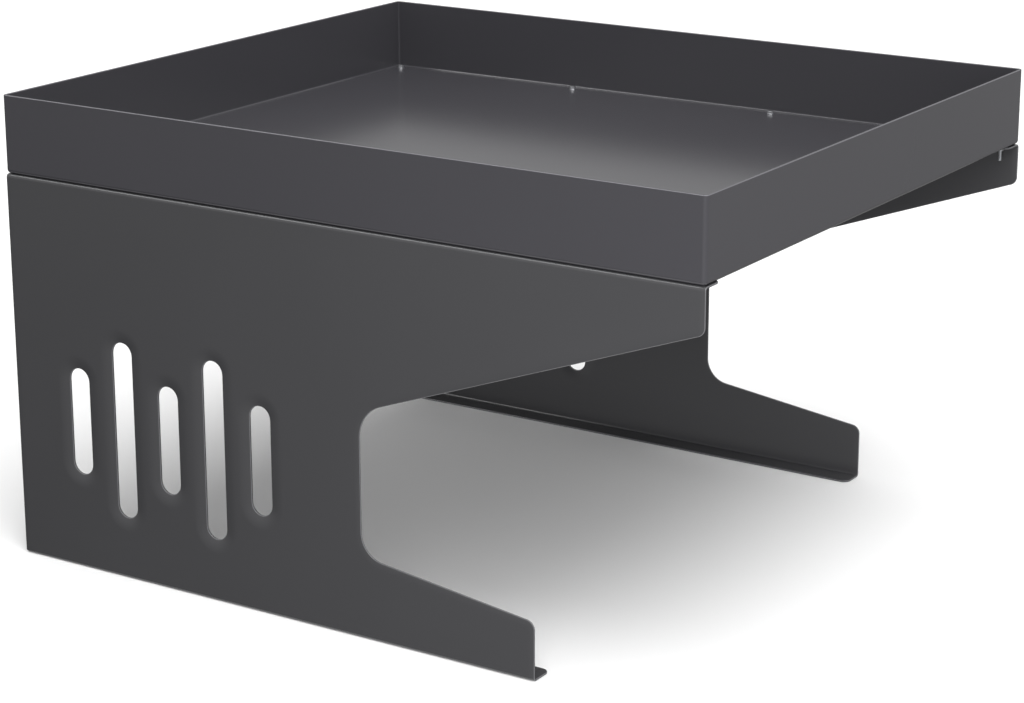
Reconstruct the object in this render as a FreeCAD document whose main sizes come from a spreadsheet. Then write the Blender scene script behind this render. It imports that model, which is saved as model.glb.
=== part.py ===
import FreeCAD, Part
import os

import Sketcher

# Robot mower garage: a planting tray bolted on top of two folded side panels.
# Millimetres, +Z up. The origin is on the ground, midway between the sides and
# midway from front to rear. The open front faces -Y, and left is -X.

# Driving sizes, one cell each: alias, value, what it measures
SIZES = (
    ("garage_width", 850, "outside of the left panel to outside of the right panel"),
    ("garage_depth", 1000, "front edge to rear edge"),
    ("side_height", 505, "ground to the top of a side panel"),
    ("side_sheet", 3, "thickness of a side panel"),
    ("side_bend", 2, "inside radius of a side panel's bends"),
    ("flange_width", 36, "outside face to the free edge of a panel's flanges"),
    ("flange_corner", 11, "radius of a flange's free corners"),
    ("arm_front", 53.5, "height of the front edge of a panel's arm"),
    ("cutout_depth", 460, "front edge to the back of the cut-out"),
    ("cutout_top", 285, "ground to the top of the cut-out at its back"),
    ("cutout_bottom", 105.5, "ground to the bottom of the cut-out at its back"),
    ("foot_setback", 216, "front edge of the arm to the front of the foot"),
    ("foot_front", 74, "height of the foot at its front"),
    ("cutout_top_radius", 45.5, "radius at the top of the cut-out's back"),
    ("cutout_bottom_radius", 34, "radius at the bottom of the cut-out's back"),
    ("tip_radius", 12, "radius of the arm's and the foot's outer corners"),
    ("slot_width", 31, "width of a ventilation slot"),
    ("slot_short", 140, "length of the first, third and fifth slot"),
    ("slot_long", 230, "length of the second and fourth slot"),
    ("slot_pitch", 71.5, "centre of one slot to the centre of the next"),
    ("slot_last", 104.5, "rear edge to the centre of the last slot"),
    ("slot_middle", 196, "ground to the middle of every slot"),
    ("tray_height", 100, "underside of the planting tray to its rim"),
    ("tray_sheet", 3, "thickness of the planting tray"),
    ("tray_bend", 2.5, "inside radius of the tray's bends and corners"),
    ("bolt_inset", 20, "outside face to a bolt's axis"),
    ("bolt_end", 18, "front edge to the first bolt, and rear edge to the fourth"),
    ("bolt_second", 359, "front edge to the second bolt"),
    ("bolt_third", 320, "rear edge to the third bolt"),
    ("bolt_thickness", 5, "diameter of a bolt's shank"),
    ("bolt_length", 25, "length of a bolt under its head"),
    ("head_height", 3.5, "height of a bolt's head"),
    ("spanner_size", 8, "distance across the flats of a head or a nut"),
    ("nut_height", 4, "height of a nut"),
    ("thread_gap", 0.05, "clearance round the shank in a nut, on the radius"),
    ("hole_gap", 0.3, "clearance round the shank in a sheet, on the radius"),
    ("washer_width", 10, "outside diameter of a washer"),
    ("washer_sheet", 1, "thickness of a washer"),
    ("washer_gap", 0.15, "clearance round the shank in a washer, on the radius"),
)

SIDES = (("left", -1), ("right", 1))
# Bolts from front to rear: -1 is measured from the front edge, 1 from the rear edge
BOLT_ROW = (
    (-1, "bolt_end"),
    (-1, "bolt_second"),
    (1, "bolt_third"),
    (1, "bolt_end"),
)
SHORT_SLOTS = 3
LONG_SLOTS = 2
HEXAGON = 6

# Expressions that several pieces share
FRONT = "-sizes.garage_depth / 2"
SHANK = "sizes.bolt_thickness / 2"
TRAY_FLOOR = "sizes.side_height + sizes.tray_sheet"
HEAD_SEAT = f"{TRAY_FLOOR} + sizes.washer_sheet"
FLANGE_UNDERSIDE = "sizes.side_height - sizes.side_sheet"
NUT_SEAT = f"{FLANGE_UNDERSIDE} - sizes.washer_sheet"


def make_sheet(doc):
    """The spreadsheet of driving sizes: alias, value and meaning in each row."""
    sheet = doc.addObject("Spreadsheet::Sheet", "sizes")
    for row, (alias, value, meaning) in enumerate(SIZES, start=1):
        sheet.set(f"A{row}", alias)
        sheet.set(f"B{row}", str(value))
        sheet.setAlias(f"B{row}", alias)
        sheet.set(f"C{row}", meaning)
    doc.recompute()
    return sheet


def size(alias):
    """The number in a cell of the spreadsheet."""
    return float(FreeCAD.ActiveDocument.sizes.get(alias))


def bind(item, bindings):
    """Tie properties of an object to expressions on the spreadsheet's cells."""
    for name, expression in bindings.items():
        item.setExpression(name, expression)


# Sketches: start shapes drawn near their places, then held by named dimensions


def new_sketch(body, name, role, lift=None):
    """A sketch on the body's own origin plane of this role, lifted along its normal."""
    sketch = body.newObject("Sketcher::SketchObject", name)
    plane = next(item for item in body.Origin.OriginFeatures if item.Role == role)
    sketch.AttachmentSupport = (plane, [""])
    sketch.MapMode = "FlatFace"
    if lift:
        sketch.setExpression("AttachmentOffset.Base.z", lift)
    return sketch


def hold(sketch, kind, *places, name=None, by=None):
    """Add a constraint, and tie its value to an expression where one is given."""
    if by is None:
        sketch.addConstraint(Sketcher.Constraint(kind, *places))
        return
    index = sketch.addConstraint(Sketcher.Constraint(kind, *places))
    sketch.renameConstraint(index, name)
    sketch.setExpression(f"Constraints.{name}", by)


def draw_polygon(sketch, points):
    """A closed polygon through the points. Line n runs from point n to the next."""
    corners = [FreeCAD.Vector(across, up, 0) for across, up in points]
    for start, end in zip(corners, corners[1:] + corners[:1]):
        sketch.addGeometry(Part.LineSegment(start, end), False)
    count = len(points)
    for line in range(count):
        hold(sketch, "Coincident", line, 2, (line + 1) % count, 1)


def draw_rectangle(sketch, low, high):
    """A rectangle from its low corner to its high corner, with level and upright sides."""
    draw_polygon(sketch, ((low[0], low[1]), (high[0], low[1]), (high[0], high[1]), (low[0], high[1])))
    for line, kind in enumerate(("Horizontal", "Vertical", "Horizontal", "Vertical")):
        hold(sketch, kind, line)


def place_point(sketch, line, point, across, up, name):
    """Hold the start of a line at two distances from the sketch's origin."""
    hold(sketch, "DistanceX", -1, 1, line, 1, point[0], name=f"{name}_across", by=across)
    hold(sketch, "DistanceY", -1, 1, line, 1, point[1], name=f"{name}_up", by=up)


# Solid features


def nearest(items, place, kind):
    """The name of the edge or face whose centre lies nearest to a place."""
    gaps = [(item.CenterOfMass - place).Length for item in items]
    return f"{kind}{gaps.index(min(gaps)) + 1}"


def round_edges(body, name, places, radius):
    """Round the edges of the body's last feature whose centres lie at the places."""
    base = body.Tip
    fillet = body.newObject("PartDesign::Fillet", name)
    edges = [nearest(base.Shape.Edges, place, "Edge") for place in places]
    fillet.Base = (base, edges)
    fillet.setExpression("Radius", radius)
    body.Document.recompute()
    return fillet


def hollow_out(body, name, places, wall):
    """Leave a wall inside the body's last solid, open at the faces at the places."""
    base = body.Tip
    shell = body.newObject("PartDesign::Thickness", name)
    faces = [nearest(base.Shape.Faces, place, "Face") for place in places]
    shell.Base = (base, faces)
    shell.Reversed = True
    shell.setExpression("Value", wall)
    body.Document.recompute()
    return shell


def cut_across(body, name, sketch):
    """Cut a sketch right through the body, both ways from the sketch's plane."""
    pocket = body.newObject("PartDesign::Pocket", name)
    pocket.Profile = sketch
    pocket.Midplane = True
    pocket.Type = "ThroughAll"
    body.Document.recompute()
    return pocket


def repeat_along(body, name, feature, sketch, count):
    """Repeat a cut towards the rear, two slot pitches apart."""
    pattern = body.newObject("PartDesign::LinearPattern", name)
    pattern.Originals = [feature]
    pattern.Direction = (sketch, ["H_Axis"])
    pattern.Occurrences = count
    pattern.setExpression("Length", f"{count - 1} * 2 * sizes.slot_pitch")
    body.Tip = pattern
    body.Document.recompute()
    return pattern


def bolt_holes(body, name, top, wall):
    """Cut the left row of bolt holes down through a wall whose top is at a height."""
    sketch = new_sketch(body, f"{name}_plan", "XY_Plane", lift=top)
    across = size("bolt_inset") - size("garage_width") / 2
    radius = size("bolt_thickness") / 2 + size("hole_gap")
    for index, (end, alias) in enumerate(BOLT_ROW):
        along = end * (size("garage_depth") / 2 - size(alias))
        circle = Part.Circle(FreeCAD.Vector(across, along, 0), FreeCAD.Vector(0, 0, 1), radius)
        sketch.addGeometry(circle, False)
        hold(sketch, "DistanceX", -1, 1, index, 3, across, name=f"across_{index + 1}",
             by="sizes.bolt_inset - sizes.garage_width / 2")
        hold(sketch, "DistanceY", -1, 1, index, 3, along, name=f"along_{index + 1}",
             by=f"{end} * (sizes.garage_depth / 2 - sizes.{alias})")
        hold(sketch, "Radius", index, radius, name=f"radius_{index + 1}",
             by=f"{SHANK} + sizes.hole_gap")
    holes = body.newObject("PartDesign::Pocket", name)
    holes.Profile = sketch
    holes.setExpression("Length", wall)
    body.Document.recompute()
    return holes


# Side panel: a sheet folded inwards at its top and bottom, open to the front


def side_blank(body):
    """The folded channel before its cut-outs: web outside, flanges turned inwards."""
    outside = -size("garage_width") / 2
    inside = outside + size("flange_width")
    height = size("side_height")
    profile = new_sketch(body, "channel_profile", "XZ_Plane")
    draw_rectangle(profile, (outside, 0), (inside, height))
    hold(profile, "PointOnObject", 0, 1, -1)
    hold(profile, "DistanceX", -1, 1, 0, 1, outside, name="outside", by="-sizes.garage_width / 2")
    hold(profile, "DistanceX", 0, 1, 0, 2, inside - outside, name="flange", by="sizes.flange_width")
    hold(profile, "DistanceY", 1, 1, 1, 2, height, name="height", by="sizes.side_height")
    block = body.newObject("PartDesign::Pad", "channel_block")
    block.Profile = profile
    block.Midplane = True
    block.setExpression("Length", "sizes.garage_depth")
    body.Document.recompute()
    bends = [FreeCAD.Vector(outside, 0, level) for level in (0, height)]
    round_edges(body, "outer_bends", bends, "sizes.side_bend + sizes.side_sheet")
    middle = (outside + inside) / 2
    half_depth = size("garage_depth") / 2
    open_faces = [
        FreeCAD.Vector(inside, 0, height / 2),
        FreeCAD.Vector(middle, -half_depth, height / 2),
        FreeCAD.Vector(middle, half_depth, height / 2),
    ]
    hollow_out(body, "folded_sheet", open_faces, "sizes.side_sheet")


def side_cutout(body):
    """Cut the open front: a slanting arm above, a low foot below, rounded corners."""
    front = -size("garage_depth") / 2
    back = front + size("cutout_depth")
    foot = front + size("foot_setback")
    arm_low = size("side_height") - size("arm_front")
    outline = new_sketch(body, "cutout_outline", "YZ_Plane")
    points = (
        (front, arm_low),
        (back, size("cutout_top")),
        (back, size("cutout_bottom")),
        (foot, size("foot_front")),
        (foot, 0),
        (front, 0),
    )
    draw_polygon(outline, points)
    for line in (1, 3, 5):
        hold(outline, "Vertical", line)
    hold(outline, "PointOnObject", 4, 1, -1)
    hold(outline, "PointOnObject", 5, 1, -1)
    place_point(outline, 0, points[0], FRONT, "sizes.side_height - sizes.arm_front", "arm")
    place_point(outline, 1, points[1], f"{FRONT} + sizes.cutout_depth", "sizes.cutout_top", "back")
    hold(outline, "DistanceY", -1, 1, 2, 1, points[2][1], name="back_low", by="sizes.cutout_bottom")
    place_point(outline, 3, points[3], f"{FRONT} + sizes.foot_setback", "sizes.foot_front", "foot")
    cut_across(body, "front_cutout", outline)
    web = (size("side_sheet") - size("garage_width")) / 2
    corners = [FreeCAD.Vector(web, along, up) for along, up in points]
    round_edges(body, "cutout_top_corner", corners[1:2], "sizes.cutout_top_radius")
    round_edges(body, "cutout_bottom_corner", corners[2:3], "sizes.cutout_bottom_radius")
    round_edges(body, "tips", [corners[0], corners[3]], "sizes.tip_radius")


def flange_corners(body):
    """Round the free corners of both flanges."""
    tip = size("flange_width") - size("garage_width") / 2
    front = -size("garage_depth") / 2
    rear = size("garage_depth") / 2
    half_sheet = size("side_sheet") / 2
    top = size("side_height") - half_sheet
    places = [
        FreeCAD.Vector(tip, front, top),
        FreeCAD.Vector(tip, rear, top),
        FreeCAD.Vector(tip, front + size("foot_setback"), half_sheet),
        FreeCAD.Vector(tip, rear, half_sheet),
    ]
    round_edges(body, "flange_corners", places, "sizes.flange_corner")


def slot_row(body, name, behind, length, count):
    """Cut an upright round-ended slot, with some places behind it, and repeat it at every second place."""
    radius = size("slot_width") / 2
    reach = size(length) / 2 - radius
    along = size("garage_depth") / 2 - size("slot_last") - behind * size("slot_pitch")
    middle = size("slot_middle")
    outline = new_sketch(body, f"{name}_outline", "YZ_Plane")
    upper = FreeCAD.Vector(along, middle + reach, 0)
    lower = FreeCAD.Vector(along, middle - reach, 0)
    aside = FreeCAD.Vector(radius, 0, 0)
    half_turn = FreeCAD.Units.Quantity("180 deg").getValueAs("rad").Value
    axis = FreeCAD.Vector(0, 0, 1)
    outline.addGeometry(Part.ArcOfCircle(Part.Circle(upper, axis, radius), 0, half_turn), False)
    outline.addGeometry(Part.LineSegment(upper - aside, lower - aside), False)
    outline.addGeometry(Part.ArcOfCircle(Part.Circle(lower, axis, radius), half_turn, 2 * half_turn), False)
    outline.addGeometry(Part.LineSegment(lower + aside, upper + aside), False)
    for curve in range(4):
        hold(outline, "Tangent", curve, 2, (curve + 1) % 4, 1)
    hold(outline, "Vertical", 1)
    hold(outline, "Radius", 0, radius, name="end_radius", by="sizes.slot_width / 2")
    hold(outline, "DistanceX", -1, 1, 0, 3, along, name="along",
         by=f"sizes.garage_depth / 2 - sizes.slot_last - {behind} * sizes.slot_pitch")
    hold(outline, "DistanceY", -1, 1, 0, 3, middle + reach, name="upper",
         by=f"sizes.slot_middle + (sizes.{length} - sizes.slot_width) / 2")
    hold(outline, "DistanceY", -1, 1, 2, 3, middle - reach, name="lower",
         by=f"sizes.slot_middle - (sizes.{length} - sizes.slot_width) / 2")
    slot = cut_across(body, name, outline)
    repeat_along(body, f"{name}_row", slot, outline, count)


def make_side_panel(doc):
    """The left side panel: folded sheet with the open front, slots and bolt holes."""
    body = doc.addObject("PartDesign::Body", "left_side_panel")
    side_blank(body)
    side_cutout(body)
    flange_corners(body)
    places = SHORT_SLOTS + LONG_SLOTS
    slot_row(body, "short_slots", places - 1, "slot_short", SHORT_SLOTS)
    slot_row(body, "long_slots", places - 2, "slot_long", LONG_SLOTS)
    bolt_holes(body, "flange_bolt_holes", "sizes.side_height", "2 * sizes.side_sheet")
    return body


def make_mirror_image(doc, name, source):
    """The same piece on the other side of the garage's middle plane."""
    mirrored = doc.addObject("Part::Mirroring", name)
    mirrored.Source = source
    mirrored.Normal = FreeCAD.Vector(1, 0, 0)
    return mirrored


# Planting tray: the roof, a shallow open tray


def make_tray(doc):
    """The tray: floor and four walls of one sheet, resting on both top flanges."""
    body = doc.addObject("PartDesign::Body", "roof_tray")
    half_width = size("garage_width") / 2
    half_depth = size("garage_depth") / 2
    low = size("side_height")
    high = low + size("tray_height")
    plan = new_sketch(body, "tray_plan", "XY_Plane", lift="sizes.side_height")
    draw_rectangle(plan, (-half_width, -half_depth), (half_width, half_depth))
    place_point(plan, 0, (-half_width, -half_depth), "-sizes.garage_width / 2", FRONT, "near")
    place_point(plan, 2, (half_width, half_depth), "sizes.garage_width / 2", "sizes.garage_depth / 2", "far")
    block = body.newObject("PartDesign::Pad", "tray_block")
    block.Profile = plan
    block.setExpression("Length", "sizes.tray_height")
    doc.recompute()
    middle = (low + high) / 2
    edges = [FreeCAD.Vector(x, y, middle) for x in (-half_width, half_width) for y in (-half_depth, half_depth)]
    edges += [FreeCAD.Vector(x, 0, low) for x in (-half_width, half_width)]
    edges += [FreeCAD.Vector(0, y, low) for y in (-half_depth, half_depth)]
    round_edges(body, "tray_bends", edges, "sizes.tray_bend + sizes.tray_sheet")
    hollow_out(body, "tray_walls", [FreeCAD.Vector(0, 0, high)], "sizes.tray_sheet")
    holes = bolt_holes(body, "tray_bolt_holes", TRAY_FLOOR, "2 * sizes.tray_sheet")
    both_rows = body.newObject("PartDesign::Mirrored", "both_bolt_rows")
    both_rows.Originals = [holes]
    middle_plane = next(item for item in body.Origin.OriginFeatures if item.Role == "YZ_Plane")
    both_rows.MirrorPlane = (middle_plane, [""])
    body.Tip = both_rows
    doc.recompute()
    return body


# Fasteners: a hexagon bolt, two washers and a nut at each place in the bolt rows


def make_solid(doc, kind, name, bindings):
    """A primitive whose sizes are tied to expressions."""
    solid = doc.addObject(kind, name)
    bind(solid, bindings)
    return solid


def join(doc, kind, name, base, tool):
    """Combine two solids: Part::Fuse, Part::Cut or Part::Common."""
    result = doc.addObject(kind, name)
    result.Base = base
    result.Tool = tool
    return result


def chamfered_hexagon(doc, name, height, upwards):
    """A hexagon prism whose corners are taken off by a 30 degree cone at its outer end.

    It stands on its seat at the origin and grows upwards or downwards from there.
    """
    prism = make_solid(doc, "Part::Prism", f"{name}_hexagon", {
        "Circumradius": "sizes.spanner_size / sqrt(3)",
        "Height": height,
    })
    prism.Polygon = HEXAGON
    wide = f"sizes.spanner_size / 2 + {height} * sqrt(3)"
    narrow = "sizes.spanner_size / 2"
    cone = make_solid(doc, "Part::Cone", f"{name}_cone", {
        "Radius1": wide if upwards else narrow,
        "Radius2": narrow if upwards else wide,
        "Height": height,
    })
    if not upwards:
        for solid in (prism, cone):
            solid.setExpression("Placement.Base.z", f"-{height}")
    return join(doc, "Part::Common", f"{name}_faces", prism, cone)


def make_bolt(doc, name):
    """A hexagon bolt, its head above the seat and its shank below."""
    head = chamfered_hexagon(doc, name, "sizes.head_height", upwards=True)
    shank = make_solid(doc, "Part::Cylinder", f"{name}_shank", {
        "Radius": SHANK,
        "Height": "sizes.bolt_length",
        "Placement.Base.z": "-sizes.bolt_length",
    })
    return join(doc, "Part::Fuse", name, head, shank)


def make_nut(doc, name):
    """A nut that hangs from its seat, bored to clear the shank."""
    faces = chamfered_hexagon(doc, name, "sizes.nut_height", upwards=False)
    bore = make_solid(doc, "Part::Cylinder", f"{name}_bore", {
        "Radius": f"{SHANK} + sizes.thread_gap",
        "Height": "sizes.nut_height",
        "Placement.Base.z": "-sizes.nut_height",
    })
    return join(doc, "Part::Cut", name, faces, bore)


def make_washer(doc, name):
    """A flat washer that lies on its seat."""
    disc = make_solid(doc, "Part::Cylinder", f"{name}_disc", {
        "Radius": "sizes.washer_width / 2",
        "Height": "sizes.washer_sheet",
    })
    bore = make_solid(doc, "Part::Cylinder", f"{name}_bore", {
        "Radius": f"{SHANK} + sizes.washer_gap",
        "Height": "sizes.washer_sheet",
    })
    return join(doc, "Part::Cut", name, disc, bore)


def make_fasteners(doc):
    """Every bolt with its washers and nut, down both sides of the tray."""
    pieces = []
    kinds = (
        ("bolt", make_bolt, HEAD_SEAT),
        ("head_washer", make_washer, TRAY_FLOOR),
        ("nut_washer", make_washer, NUT_SEAT),
        ("nut", make_nut, NUT_SEAT),
    )
    for side, sign in SIDES:
        for number, (end, alias) in enumerate(BOLT_ROW, start=1):
            for kind, make, seat in kinds:
                piece = make(doc, f"{side}_{kind}_{number}")
                bind(piece, {
                    "Placement.Base.x": f"{sign} * (sizes.garage_width / 2 - sizes.bolt_inset)",
                    "Placement.Base.y": f"{end} * (sizes.garage_depth / 2 - sizes.{alias})",
                    "Placement.Base.z": seat,
                })
                pieces.append(piece)
    return pieces


def check(doc, pieces):
    """Stop if any feature failed or any piece isn't one sound solid."""
    for item in doc.Objects:
        if "Invalid" in item.State or "Error" in item.State:
            raise RuntimeError(f"{item.Name} failed: {item.State}")
    for piece in pieces:
        shape = piece.Shape
        if shape.isNull() or not shape.isValid() or len(shape.Solids) != 1:
            raise RuntimeError(f"{piece.Label} isn't one valid solid")


def write(pieces):
    """Write each piece to a file that its label names."""
    os.makedirs("parts", exist_ok=True)
    for piece in pieces:
        piece.Shape.exportStep(os.path.join("parts", f"{piece.Label}.step"))
        print(f"{piece.Label}: {piece.Shape.Volume:.1f} mm3")


def main():
    """Build the garage and write its pieces."""
    doc = FreeCAD.newDocument("mower_garage")
    make_sheet(doc)
    left_panel = make_side_panel(doc)
    pieces = [left_panel, make_mirror_image(doc, "right_side_panel", left_panel), make_tray(doc)]
    pieces += make_fasteners(doc)
    doc.recompute()
    check(doc, pieces)
    write(pieces)


main()
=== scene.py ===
"""Looks of the robot mower garage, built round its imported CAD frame.

Two folded side panels carry a shallow planting tray, and eight zinc plated
bolts hold them together. Lengths are millimetres until a mesh is written, and
then metres. The frame is the CAD's: +Z up, open front to -Y, left to -X.
"""

import logging
import math
from dataclasses import dataclass
from enum import Enum

import bpy
import numpy as np
from mathutils import Matrix, Vector
from mathutils.geometry import delaunay_2d_cdt


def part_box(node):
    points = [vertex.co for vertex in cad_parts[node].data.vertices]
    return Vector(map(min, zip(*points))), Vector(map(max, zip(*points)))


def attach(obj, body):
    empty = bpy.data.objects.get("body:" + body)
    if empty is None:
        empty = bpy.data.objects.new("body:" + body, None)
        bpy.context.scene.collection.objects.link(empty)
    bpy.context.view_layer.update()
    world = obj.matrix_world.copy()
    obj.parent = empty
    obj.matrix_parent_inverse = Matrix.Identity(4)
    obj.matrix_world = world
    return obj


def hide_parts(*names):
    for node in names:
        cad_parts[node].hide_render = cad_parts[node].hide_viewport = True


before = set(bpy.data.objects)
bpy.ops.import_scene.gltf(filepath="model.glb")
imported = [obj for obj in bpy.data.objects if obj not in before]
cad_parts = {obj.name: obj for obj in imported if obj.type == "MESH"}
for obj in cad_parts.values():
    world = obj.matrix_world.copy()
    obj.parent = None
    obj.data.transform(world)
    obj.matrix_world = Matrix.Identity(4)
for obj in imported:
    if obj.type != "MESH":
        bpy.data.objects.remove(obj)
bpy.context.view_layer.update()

METRE = 1000.0
QUARTER_TURN = math.pi / 2
FULL_TURN = 2 * math.pi
WELD_GRAIN = 0.001
FILL_GRAIN = 1e-7
INSIDE_ONLY = 1
TINY = 1e-9
NEAR = 1e-6
CREASE = math.radians(30)
SKIN_SINE = 0.25
AHEAD = np.array((0.0, 1.0, 0.0))

log = logging.getLogger("mower_garage")


class Side(Enum):
    """The garage's two sides, each with the sign of its X."""

    LEFT = -1
    RIGHT = 1

    @property
    def label(self) -> str:
        """The side's word in the names of nodes and pieces."""
        return self.name.lower()


class Slot(Enum):
    """The record's material slots."""

    SIDE_COAT = "side_coat"
    TRAY_COAT = "tray_coat"
    ZINC = "zinc"


Coats = dict[Slot, bpy.types.Material]
Socket = bpy.types.NodeSocket
Place = tuple[float, float, float]
Span = tuple[float, float]


# Surfaces as arrays


@dataclass
class Surface:
    """A surface: its points, the outward normal at each, and its triangles.

    The crest weights the highlight painted along rounded edges: 1 halfway round, 0 elsewhere.
    """

    points: np.ndarray
    normals: np.ndarray
    triangles: np.ndarray
    crest: np.ndarray | None = None

    def __post_init__(self) -> None:
        """Take every point as lying off the edges where no crest is given."""
        if self.crest is None:
            self.crest = np.zeros(len(self.points))

    def mirrored(self) -> "Surface":
        """The same surface on the other side of the plane X = 0."""
        flip = np.array((-1.0, 1.0, 1.0))
        return Surface(self.points * flip, self.normals * flip, self.triangles, self.crest)

    def welded(self) -> "Surface":
        """Merge the points that coincide and drop the triangles that this closes up.

        Points are the same when their coordinates round to the same thousandth of a
        millimetre. Their normals are added up and brought back to length one.

        Returns:
            The surface with each place named once.
        """
        keys = np.round(self.points / WELD_GRAIN).astype(np.int64)
        _, first, place = np.unique(keys, axis=0, return_index=True, return_inverse=True)
        place = place.reshape(-1)
        normals = np.zeros((len(first), 3))
        np.add.at(normals, place, self.normals)
        normals /= np.maximum(np.linalg.norm(normals, axis=1, keepdims=True), TINY)
        triangles = place[self.triangles]
        whole = (triangles != np.roll(triangles, 1, axis=1)).all(axis=1)
        return Surface(self.points[first], normals, triangles[whole], self.crest[first])

    def facing_out(self) -> "Surface":
        """Turn every triangle so that it faces the way the normals of its points do."""
        corners = self.points[self.triangles]
        face = np.cross(corners[:, 1] - corners[:, 0], corners[:, 2] - corners[:, 0])
        wanted = self.normals[self.triangles].sum(axis=1)
        backwards = (face * wanted).sum(axis=1) < 0
        triangles = self.triangles.copy()
        triangles[backwards] = triangles[backwards][:, ::-1]
        return Surface(self.points, self.normals, triangles, self.crest)


def joined(surfaces: list[Surface]) -> Surface:
    """Put several surfaces into one, with the triangles renumbered."""
    starts = np.cumsum([0] + [len(surface.points) for surface in surfaces[:-1]])
    return Surface(
        np.concatenate([surface.points for surface in surfaces]),
        np.concatenate([surface.normals for surface in surfaces]),
        np.concatenate([surface.triangles + start for surface, start in zip(surfaces, starts)]),
        np.concatenate([surface.crest for surface in surfaces]),
    )


def lattice(rows: int, columns: int, rows_close: bool = False) -> np.ndarray:
    """Triangles of a grid whose columns close on themselves.

    Point (r, c) has the number r * columns + c, and each cell is cut by one diagonal.

    Args:
        rows: Number of rows of points.
        columns: Number of points in a row.
        rows_close: Whether the last row joins the first.

    Returns:
        An array of triangles.
    """
    row = np.arange(rows if rows_close else rows - 1)[:, None]
    column = np.arange(columns)[None, :]
    above = (row + 1) % rows
    beside = (column + 1) % columns
    near, right = row * columns + column, row * columns + beside
    far, diagonal = above * columns + column, above * columns + beside
    lower = np.stack((near, right, diagonal), axis=-1)
    upper = np.stack((near, diagonal, far), axis=-1)
    return np.concatenate((lower.reshape(-1, 3), upper.reshape(-1, 3)))


def added(name: str, data: bpy.types.ID) -> bpy.types.Object:
    """Make an object at the origin from its data, linked into the scene."""
    thing = bpy.data.objects.new(name, data)
    bpy.context.scene.collection.objects.link(thing)
    return thing


def make_piece(name: str, surface: Surface, own_normals: bool) -> bpy.types.Object:
    """Write a surface into a mesh object at the origin.

    Args:
        name: The piece's name.
        surface: Its surface in millimetres.
        own_normals: Whether it keeps the normals that were worked out with it,
            or gets smooth ones that break at edges sharper than 30 degrees.

    Returns:
        The new object, linked into the scene.
    """
    mesh = bpy.data.meshes.new(name)
    mesh.from_pydata(surface.points / METRE, [], surface.triangles.tolist())
    mesh.polygons.foreach_set("use_smooth", np.ones(len(surface.triangles), bool))
    # The crest weights the highlight painted along the rounded edges.
    mesh.attributes.new("crest", "FLOAT", "POINT").data.foreach_set("value", surface.crest)
    if own_normals:
        mesh.normals_split_custom_set_from_vertices(surface.normals.tolist())
    else:
        mesh.set_sharp_from_angle(angle=CREASE)
    mesh.update()
    return added(name, mesh)


# Outlines in the flat sheet


@dataclass
class Loop:
    """A closed outline in the flat sheet, with the normal that points into the sheet."""

    points: np.ndarray
    inward: np.ndarray
    drilled: bool = False

    def inset(self, distance: np.ndarray | float) -> np.ndarray:
        """The outline's points, each moved into the sheet by a distance."""
        return self.points + self.inward * distance

    def crossing(self, levels: np.ndarray) -> "Loop":
        """Add a point wherever a straight run of the outline crosses a level.

        Between two neighbours the crossing lies at the share (level - start) / rise
        of the way, and it counts when that share is between nought and one.

        Args:
            levels: Second coordinates of the level lines.

        Returns:
            The outline with the points added in order.
        """
        after = np.roll(self.points, -1, axis=0)
        rise = after[:, 1] - self.points[:, 1]
        steps = np.where(np.abs(rise) < TINY, np.inf, rise)
        share = (levels[None, :] - self.points[:, 1:]) / steps[:, None]
        run, line = np.nonzero((share > NEAR) & (share < 1 - NEAR))
        part = share[run, line]
        added = self.points[run] + (after[run] - self.points[run]) * part[:, None]
        added[:, 1] = levels[line]
        order = np.argsort(np.concatenate((np.arange(len(self.points)), run + part)))
        return Loop(
            np.concatenate((self.points, added))[order],
            np.concatenate((self.inward, self.inward[run]))[order],
        )


def rounded_polygon(corners: np.ndarray, radii: np.ndarray, steps: int) -> Loop:
    """An anticlockwise polygon whose corners are arcs that touch both sides.

    With h half the angle at a corner, the arc's centre lies radius / sin(h) from the
    corner along the line that halves the angle, and the arc starts and ends
    radius / tan(h) from the corner. At a corner that turns left, into the sheet is
    towards the centre, and at one that turns right it is away from it.

    Args:
        corners: The polygon's corners, one row each.
        radii: The radius at each corner.
        steps: Number of steps in each arc.

    Returns:
        The rounded outline.
    """
    back = np.roll(corners, 1, axis=0) - corners
    ahead = np.roll(corners, -1, axis=0) - corners
    back /= np.linalg.norm(back, axis=1, keepdims=True)
    ahead /= np.linalg.norm(ahead, axis=1, keepdims=True)
    half = np.arccos((back * ahead).sum(axis=1)) / 2
    halving = back + ahead
    halving /= np.linalg.norm(halving, axis=1, keepdims=True)
    centre = corners + halving * (radii / np.sin(half))[:, None]
    start = corners + back * (radii / np.tan(half))[:, None] - centre
    end = corners + ahead * (radii / np.tan(half))[:, None] - centre
    turn = np.arctan2(
        start[:, 0] * end[:, 1] - start[:, 1] * end[:, 0],
        (start * end).sum(axis=1),
    )
    angle = np.arctan2(start[:, 1], start[:, 0])[:, None]
    angle = angle + turn[:, None] * np.linspace(0, 1, steps + 1)
    spoke = np.stack((np.cos(angle), np.sin(angle)), axis=-1)
    points = centre[:, None] + spoke * radii[:, None, None]
    inward = -spoke * np.sign(turn)[:, None, None]
    return Loop(points.reshape(-1, 2), inward.reshape(-1, 2))


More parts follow.
